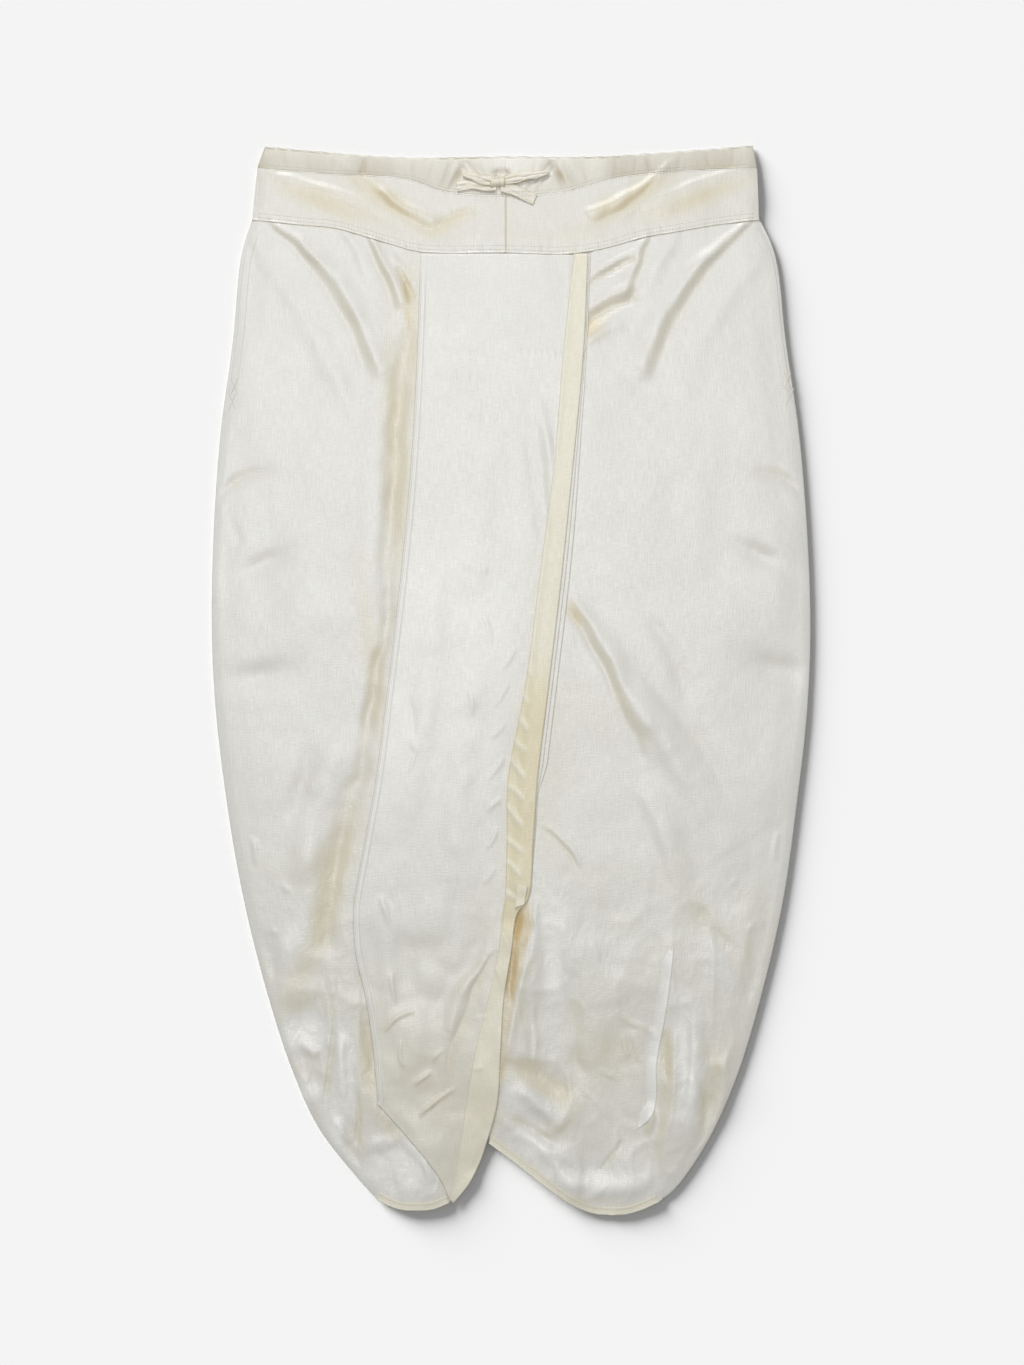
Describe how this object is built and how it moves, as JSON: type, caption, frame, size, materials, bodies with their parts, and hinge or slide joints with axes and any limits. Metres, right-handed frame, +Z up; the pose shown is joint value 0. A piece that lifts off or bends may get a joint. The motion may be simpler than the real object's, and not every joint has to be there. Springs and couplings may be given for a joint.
{
  "type": "stitched veshti trousers laid flat",
  "caption": "Ready-made pleated veshti trousers laid flat, front up, with a yoke, elastic casing, tied drawstring, front pleat panel and curved leg openings.",
  "frame": {"origin": "centre of the footprint, on the surface that the garment lies on", "axes": "+X across the garment to the picture's right, +Y along it towards the waist, +Z up off the surface"},
  "size_m": [0.5624, 1.003, 0.015],
  "materials": {
    "ivory_silk": "glossy woven art silk, ivory",
    "cream_facing": "satin woven cloth, cream",
    "casing_silk": "gathered art silk over elastic",
    "tie_silk": "self-fabric flat tie"
  },
  "bodies": {
    "root": {"back_leg_left": "ivory_silk", "back_leg_right": "ivory_silk", "back_yoke": "ivory_silk", "back_casing": "casing_silk", "front_leg_left": "ivory_silk", "front_leg_right": "ivory_silk", "front_yoke_left": "ivory_silk", "front_yoke_right": "ivory_silk", "front_casing_left": "casing_silk", "front_casing_right": "casing_silk", "pleat_under_wide": "ivory_silk", "pleat_under_narrow": "ivory_silk", "pleat_panel": "ivory_silk", "pleat_facing": "cream_facing", "facing_corner": "cream_facing", "pleat_edge_right": "ivory_silk", "pocket_edge_left": "ivory_silk", "pocket_edge_right": "ivory_silk", "hem_left": "cream_facing", "hem_right": "cream_facing", "tie_knot": "tie_silk", "tie_loop_left": "tie_silk", "tie_loop_right": "tie_silk", "tie_end_left": "tie_silk", "tie_end_right": "tie_silk"}
  },
  "joints": []
}
